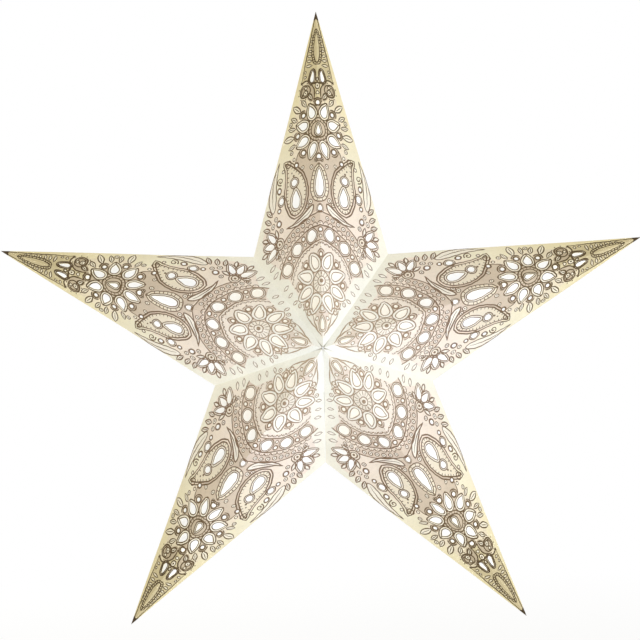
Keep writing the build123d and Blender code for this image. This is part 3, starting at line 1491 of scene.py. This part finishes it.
@dataclass(frozen=True)
class HandmadePaper(Finish):
    """Cream handmade paper, plain or printed: cloudy, fibrous and matt, darker and yellower towards the tips
    and paler towards the centre, partly its own tone and partly painted light, the glow that a lamp inside
    the star would give.
    """

    # Paler at the centre partly as painted glow of a lamp inside the star, darker and yellower at the tips
    colours: tuple[Steps, ...] = ((246, 243, 229), (248, 242, 222), (243, 230, 190), (229, 212, 157))
    grains: tuple[Grain, ...] = clouds_and_fibres(0.06, 0.07)
    bump: Pair = (0.25, 0.00022)
    roughness: float = 0.94
    specular: float = 0.1


@dataclass(frozen=True)
class PrintInk(Finish):
    """Screen-printed ink, dark brown at the tips and paler to the centre, broken by the grain."""

    name: str = "print_ink"
    colours: tuple[Steps, ...] = ((176, 154, 126), (128, 104, 82), (102, 84, 58), (76, 62, 42))
    grains: tuple[Grain, ...] = (Grain(700.0, 4.0, 0.65, (1.0, 1.3), (0.5, 0.68)),)
    bump: Pair = (0.3, 0.0002)
    roughness: float = 0.75
    specular: float = 0.12


@dataclass(frozen=True)
class LinerTissue(Finish):
    """White tissue behind the cut-outs, with a faint painted glow that stands in for light passing through
    it.
    """

    name: str = "liner_tissue"
    colours: tuple[Steps, ...] = ((249, 240, 222), (250, 242, 226), (250, 248, 246), (248, 246, 240))
    grains: tuple[Grain, ...] = (Grain(260.0, 5.0, 0.6, (0.95, 1.0), (0.35, 0.6), 2.0),)
    bump: Pair = (0.2, 0.0001)
    roughness: float = 0.9
    specular: float = 0.1
    stops: tuple[float, ...] = (0.08, 0.26, 0.37, 0.97)
    # The tissue's painted glow, in place of light that would shine through it
    painted_glow: float = 0.09


@dataclass(frozen=True)
class PadFelt(Finish):
    """The white hook-and-loop felt of the closing pads, of one colour throughout."""

    name: str = "pad_felt"
    colours: tuple[Steps, ...] = ((238, 234, 224),) * 2
    grains: tuple[Grain, ...] = (Grain(1500.0, 3.0, 0.6, (0.8, 1.0), (0.35, 0.65)),)
    bump: Pair = (0.5, 0.0004)
    roughness: float = 0.95
    specular: float = 0.5


@dataclass
class Finishes:
    """Every material of the lantern, made once, with the sheet's in the order of its prints."""

    reach: float
    # Every paper is paler towards the centre, partly its own tone and partly painted glow of a lamp inside
    papers: tuple[Finish, ...] = (
        HandmadePaper("star_paper"),
        HandmadePaper("print_ground", ((250, 242, 226), (246, 230, 211), (242, 227, 195), (216, 198, 148)),
                      clouds_and_fibres(0.09, 0.09)),
        HandmadePaper("print_shade", ((239, 224, 206), (227, 208, 187), (208, 190, 160), (176, 158, 116)),
                      clouds_and_fibres(0.1, 0.1)),
        HandmadePaper("print_tint", ((248, 240, 224), (242, 229, 208), (237, 223, 188), (226, 209, 164)),
                      clouds_and_fibres(0.09, 0.09)),
        HandmadePaper("print_deep", ((236, 220, 186), (230, 214, 178), (218, 202, 158), (214, 197, 152)),
                      clouds_and_fibres(0.12, 0.1)),
        HandmadePaper("print_pale", ((250, 246, 233), (249, 240, 224), (247, 236, 209), (232, 217, 176)),
                      clouds_and_fibres(0.05, 0.07)),
        PrintInk(),
    )

    def __post_init__(self) -> None:
        """Makes the materials."""
        self.sheet = [paper.material(self.reach) for paper in self.papers]
        self.tissue = LinerTissue().material(self.reach)
        self.felt = PadFelt().material(self.reach)


def make_object(name: str, places: np.ndarray, faces: list, slots: list[bpy.types.Material],
                prints: np.ndarray | None = None) -> bpy.types.Object:
    """Makes a mesh object from places and faces.

    Args:
        name: The piece's name.
        places: Its corners, in metres.
        faces: Its faces, as lists of corners.
        slots: Its materials.
        prints: Each face's material, where it has several.

    Returns:
        The object, in the scene.
    """
    mesh = bpy.data.meshes.new(name)
    mesh.from_pydata([tuple(place) for place in places], [], [tuple(int(c) for c in face) for face in faces])
    for slot in slots:
        mesh.materials.append(slot)
    if prints is not None:
        mesh.polygons.foreach_set("material_index", np.asarray(prints, dtype=np.int32))
    return shown(bpy.data.objects.new(name, mesh))


def shown(thing: bpy.types.Object) -> bpy.types.Object:
    """Puts an object in the scene."""
    bpy.context.scene.collection.objects.link(thing)
    return thing


def add_prism(mesh: bmesh.types.BMesh, first: np.ndarray, second: np.ndarray) -> None:
    """Adds a thin closed slab between two outlines.

    Args:
        mesh: The mesh that it's added to.
        first: The corners of one outline, in metres.
        second: As many corners of the other.
    """
    near = [mesh.verts.new(place) for place in first]
    far = [mesh.verts.new(place) for place in second]
    mesh.faces.new(near)
    mesh.faces.new(far[::-1])
    for step in range(len(near)):
        after = (step + 1) % len(near)
        mesh.faces.new((near[after], near[step], far[step], far[after]))


def delete_loose(mesh: bmesh.types.BMesh) -> None:
    """Deletes the corners that no face uses."""
    loose = [vertex for vertex in mesh.verts if not vertex.link_faces]
    bmesh.ops.delete(mesh, geom=loose, context="VERTS")


def lap_sheet(shape: StarShape) -> FlatSheet:
    """Cuts the closing lap: a strip along the side edge, which ends short of both its ends.

    Args:
        shape: The star's sizes.

    Returns:
        The lap's flat sheet.
    """
    outer, inner = shape.inset_outline(shape.lap_inset), shape.inset_outline(shape.lap_width)
    low, high = outer[2][0] + shape.lap_end_gap, shape.ridge_length - shape.lap_tip_gap
    corners = []
    for (_, far, near), along in ((outer, low), (inner, low), (inner, high), (outer, high)):
        share = (along - near[0]) / (far[0] - near[0])
        corners.append((along, near[1] + share * (far[1] - near[1])))
    return Board(sampled(corners), grid=shape.lap_grid).split()


@dataclass
class FoldedSolid:
    """A thin solid folded from flat sheets: an outer face, an inner face, and walls at the rims.

    Corners that lie nearer than the weld, in metres, are joined. Edges that fold further than
    sharp_from, in degrees, look sharp.
    """

    shape: StarShape
    turn: int
    outer_depth: float
    inner_depth: float
    weld: float = 3e-6
    sharp_from: float = 24.0
    places: list[np.ndarray] = field(default_factory=list)
    faces: list[list[int]] = field(default_factory=list)
    prints: list[int] = field(default_factory=list)

    def add(self, flat: FlatSheet, quarter: Quarter, seam: bool = False) -> None:
        """Folds one flat sheet into its quarter of the ray.

        Args:
            flat: The flat sheet.
            quarter: Which facet it becomes.
            seam: Whether that facet ends at the open seam.
        """
        right, front = quarter.value
        start = sum(len(places) for places in self.places)
        under = start + len(flat.points)
        self.places.append(self.shape.fold(flat.points, quarter, self.turn, self.outer_depth, seam))
        self.places.append(self.shape.fold(flat.lining_points, quarter, self.turn, self.inner_depth, seam))
        outer, inner = flat.triangles + start, flat.lining[:, ::-1] + under
        here, there = self.walls(flat).T
        twins = flat.twins + under
        quads = np.column_stack([there + start, here + start, twins[here], twins[there]])
        for group in (outer, inner, quads):
            self.faces.extend((group[:, ::-1] if right * front > 0 else group).tolist())
        self.prints.extend(flat.prints.tolist())
        self.prints.extend([int(Print.PAPER)] * (len(inner) + len(quads)))

    def walls(self, flat: FlatSheet) -> np.ndarray:
        """Finds the rim's edges that are cut or end in the air, and not creased to another facet.

        Args:
            flat: The flat sheet.

        Returns:
            Those edges.
        """
        _, to_apex, _ = self.shape.shares(flat.points)
        creased = np.zeros(len(flat.rim), dtype=bool)
        for on_crease in (flat.points[:, 1] < ON_RIDGE, to_apex < ON_CREASE):
            creased |= on_crease[flat.rim].all(axis=1)
        return flat.rim[~creased]

    def build(self, name: str, slots: list[bpy.types.Material]) -> bpy.types.Object:
        """Joins the facets along their creases and makes the piece.

        Args:
            name: The piece's name.
            slots: Its materials, in the order of the prints.

        Returns:
            The piece.
        """
        piece = make_object(name, np.concatenate(self.places), self.faces, slots, np.array(self.prints))
        joined = bmesh.new()
        joined.from_mesh(piece.data)
        bmesh.ops.remove_doubles(joined, verts=joined.verts, dist=self.weld)
        delete_loose(joined)
        joined.to_mesh(piece.data)
        joined.free()
        piece.data.polygons.foreach_set("use_smooth", [True] * len(piece.data.polygons))
        piece.data.set_sharp_from_angle(angle=math.radians(self.sharp_from))
        return piece


@dataclass
class RaySheet:
    """One ray's printed, cut and folded sheet, with its flanges and its closing lap."""

    shape: StarShape
    finishes: Finishes
    node: str
    turn: int
    seam_side: int = 0

    def build(self, plain: FlatSheet, with_cord_hole: FlatSheet, lap: FlatSheet) -> bpy.types.Object:
        """Folds the flat sheets into the ray and dresses it.

        Args:
            plain: The facet's flat sheet.
            with_cord_hole: The same with the cord's hole, for the two facets behind the open seam.
            lap: The closing lap's flat sheet.

        Returns:
            The ray's object.
        """
        folded = FoldedSolid(self.shape, self.turn, 0.0, self.shape.sheet)
        for quarter in Quarter:
            right, front = quarter.value
            at_seam = right == self.seam_side
            folded.add(with_cord_hole if at_seam and front < 0 else plain, quarter, at_seam)
        sheet = folded.build(f"paper_{self.node}", self.finishes.sheet)
        self.add_flaps(sheet, lap)
        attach(sheet, BODY)
        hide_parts(self.node)
        return sheet

    def add_flaps(self, sheet: bpy.types.Object, lap: FlatSheet) -> None:
        """Adds the glue flanges in the valleys and the lap along the left side edge.

        Args:
            sheet: The ray's object.
            lap: The closing lap's flat sheet.
        """
        strip = FoldedSolid(self.shape, self.turn, self.shape.sheet, 2 * self.shape.sheet)
        strip.add(lap, Quarter.BACK_LEFT)
        whole = bmesh.new()
        whole.from_mesh(sheet.data)
        for quarter in Quarter:
            add_prism(whole, self.flange(quarter), self.flange(quarter, self.shape.sheet))
        corners = [whole.verts.new(place) for place in np.concatenate(strip.places)]
        for face in strip.faces:
            whole.faces.new([corners[corner] for corner in face])
        delete_loose(whole)
        bmesh.ops.recalc_face_normals(whole, faces=whole.faces)
        whole.to_mesh(sheet.data)
        whole.free()

    def flange(self, quarter: Quarter, depth: float = 0.0) -> np.ndarray:
        """Places one face of a glue flange, which lies in the plane between two rays.

        Args:
            quarter: Which facet it hangs on.
            depth: How far that face lies inside the ray.

        Returns:
            Its four corners, in metres.
        """
        shape = self.shape
        right, front = quarter.value
        gap = shape.seam_gap / 2 if right == self.seam_side else 0.0
        into, valley = shape.into_ray, unit(shape.corner - shape.apex)
        inside = np.cross(into, valley)
        start, width, root = shape.flange_end_gap, shape.flange_width, shape.sheet / 2
        end = float(np.linalg.norm(shape.corner - shape.apex)) - start
        flat = ((start, root), (end, root), (end - width, width), (start + width, width))
        corners = [shape.apex + into * (gap + depth) + valley * along + inside * down for along, down in flat]
        return turned(np.array(corners) * np.array([right, front, 1.0]), self.turn) * MM


@dataclass
class TissueLiner:
    """The tissue behind two facets of a ray, folded at the ridge."""

    shape: StarShape
    finishes: Finishes
    ray: str
    turn: int
    side: Side
    clearance: float = 0.04
    thinned: float = 0.6

    def build(self, flat: FlatSheet) -> bpy.types.Object:
        """Folds the flat tissue behind its two facets.

        Args:
            flat: The liner's half, laid flat.

        Returns:
            The liner's object.
        """
        front = 1 if self.side is Side.FRONT else -1
        outer = self.shape.sheet + self.clearance
        folded = FoldedSolid(self.shape, self.turn, outer, outer + self.thinned * self.shape.tissue)
        for quarter in Quarter:
            if quarter.value[1] == front:
                folded.add(flat, quarter)
        node = f"tissue_{self.side.value}_{self.ray}"
        liner = folded.build(f"liner_{self.side.value}_{self.ray}", [self.finishes.tissue])
        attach(liner, BODY)
        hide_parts(node)
        return liner


@dataclass
class Lantern:
    """The whole lantern: five rays, each with its two liners, and the closing pads."""

    shape: StarShape
    rays: tuple[str, ...] = ("top", "upper_right", "lower_right", "lower_left", "upper_left")
    seam_sides: tuple[int, ...] = (0, 0, 1, -1, 0)

    def build(self) -> None:
        """Builds and dresses every piece, and reports each."""
        finishes = Finishes(self.shape.tip_radius * MM)
        pattern = StarPattern(self.shape)
        plain, pierced = pattern.lay_out(), pattern.lay_out(cord_hole=True)
        LOG.info("flat sheet: %d triangles, with a lining of %d", len(plain.triangles), len(plain.lining))
        lap = lap_sheet(self.shape)
        tissue = Board(sampled(self.shape.inset_outline(self.shape.liner_margin))).split()
        for turn, (ray, seam_side) in enumerate(zip(self.rays, self.seam_sides)):
            sheet = RaySheet(self.shape, finishes, f"ray_{ray}", turn, seam_side).build(plain, pierced, lap)
            LOG.info("%s: %d triangles", sheet.name, triangle_count(sheet))
            for side in Side:
                liner = TissueLiner(self.shape, finishes, ray, turn, side).build(tissue)
                LOG.info("%s: %d triangles", liner.name, triangle_count(liner))
        for side in Side:
            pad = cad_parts[f"closing_pad_{side.value}"]
            pad.data.materials.clear()
            pad.data.materials.append(finishes.felt)
            LOG.info("%s: felt", pad.name)


@dataclass(frozen=True)
class Studio:
    """A white studio: a pale floor, even light, a soft lamp low on the right, one behind, a camera."""

    distance: float = 1.4144
    focal_length: float = 85.0
    star_pixel: Point = (323.0, 348.0)
    frame_pixels: float = 640.0
    roll: float = 1.24
    white: tuple[float, ...] = (1.0, 1.0, 1.0, 1.0)
    floor_drop: float = 0.42
    floor_size: float = 6.0
    floor_tint: tuple[float, ...] = (0.86, 0.86, 0.86, 1.0)
    floor_roughness: float = 0.9
    floor_fade: Pair = (0.5, 1.5)
    floor_white: Pair = (0.8, 1.0)
    ambient: float = 1.02
    ambient_tint: Colour = (1.0, 0.975, 0.86)
    ambient_lean: Place = (0.0, 0.0, -0.5)
    key_at: Place = (0.5, -1.5, -0.34)
    key_size: Pair = (0.9, 0.12)
    key_power: float = 17.0
    key_tint: Colour = (0.65, 0.74, 1.0)
    back_at: Place = (-0.5, 1.7, 0.3)
    back_size: Pair = (1.2, 1.0)
    back_power: float = 9.0

    def build(self) -> None:
        """Builds the floor, the light and the camera."""
        self.floor()
        self.world()
        self.lamp("key", self.key_at, self.key_size, self.key_power, self.key_tint)
        self.lamp("back", self.back_at, self.back_size, self.back_power, self.ambient_tint)
        self.camera()
        LOG.info("studio: floor, world, two lamps and a camera")

    def floor(self) -> None:
        """Lays the pale floor under the hanging star, which fades to white where the camera sees it."""
        half = self.floor_size / 2
        sides = ((-half, -half), (half, -half), (half, half), (-half, half))
        corners = np.array([(x, y, -self.floor_drop) for x, y in sides])
        material = bpy.data.materials.new("floor")
        material.use_nodes = True
        bench = NodeBench(material.node_tree)
        shader = bench.tree.nodes["Principled BSDF"]
        bench.put(shader, {"Base Color": self.floor_tint, "Roughness": self.floor_roughness})
        white = bench.add("Emission", {"Color": self.white}, "Emission")
        place = bench.add("TexCoord", {}, "Object")
        reach = bench.add("VectorMath", {0: place}, "Value", "LENGTH")
        fade = bench.ranged(reach, self.floor_fade, self.floor_white)
        share = bench.add("Math", {0: bench.seen_directly(), 1: fade}, 0, "MULTIPLY")
        bench.mix(share, shader.outputs["BSDF"], white, "Material Output")
        make_object("floor", corners, [(0, 1, 2, 3)], [material])

    def world(self) -> None:
        """Makes the surroundings: white where the camera sees them, and a soft even light elsewhere."""
        world = bpy.data.worlds.new("studio")
        bpy.context.scene.world = world
        world.use_nodes = True
        bench = NodeBench(world.node_tree)
        towards = bench.add("TexCoord", {}, "Generated")
        lean = bench.add("VectorMath", {0: towards, 1: self.ambient_lean}, "Value", "DOT_PRODUCT")
        strength = bench.add("Math", {0: lean, 1: self.ambient, 2: self.ambient}, "Value", "MULTIPLY_ADD")
        light = bench.tree.nodes["Background"]
        bench.put(light, {"Color": (*self.ambient_tint, 1.0), "Strength": strength})
        white = bench.add("Background", {"Color": self.white}, "Background")
        bench.mix(bench.seen_directly(), light.outputs["Background"], white, "World Output")

    def lamp(self, name: str, at: Place, size: Pair, power: float, tint: Colour) -> None:
        """Hangs one long soft lamp that faces the star.

        Args:
            name: Its name.
            at: Its place.
            size: Its length and its height in metres.
            power: Its power in watts.
            tint: Its colour.
        """
        data = bpy.data.lights.new(name, "AREA")
        data.shape = "RECTANGLE"
        data.size, data.size_y = size
        data.energy = power
        data.color = tint
        lamp = shown(bpy.data.objects.new(name, data))
        lamp.location = at
        lamp.rotation_euler = (-Vector(at)).to_track_quat("-Z", "Y").to_euler()

    def camera(self) -> None:
        """Sets the camera on the star's axis, rolled and shifted as the photograph is framed."""
        data = bpy.data.cameras.new("camera")
        data.lens = self.focal_length
        data.shift_x = (self.frame_pixels / 2 - self.star_pixel[0]) / self.frame_pixels
        data.shift_y = (self.star_pixel[1] - self.frame_pixels / 2) / self.frame_pixels
        camera = shown(bpy.data.objects.new("camera", data))
        camera.location = (0.0, -self.distance, 0.0)
        camera.rotation_mode = "XYZ"
        roll = Euler((0.0, math.radians(self.roll), 0.0)).to_matrix()
        camera.rotation_euler = (roll @ Euler((math.radians(90), 0.0, 0.0)).to_matrix()).to_euler()
        bpy.context.scene.camera = camera


def triangle_count(piece: bpy.types.Object) -> int:
    """How many triangles a piece has."""
    return sum(len(polygon.vertices) - 2 for polygon in piece.data.polygons)


def main() -> None:
    """Builds the lantern and its studio."""
    logging.basicConfig(level=logging.INFO, format="%(name)s: %(message)s")
    bpy.context.scene.view_settings.view_transform = "Standard"
    shape = StarShape.from_frame()
    Lantern(shape).build()
    Studio().build()


if __name__ == "__main__":
    main()
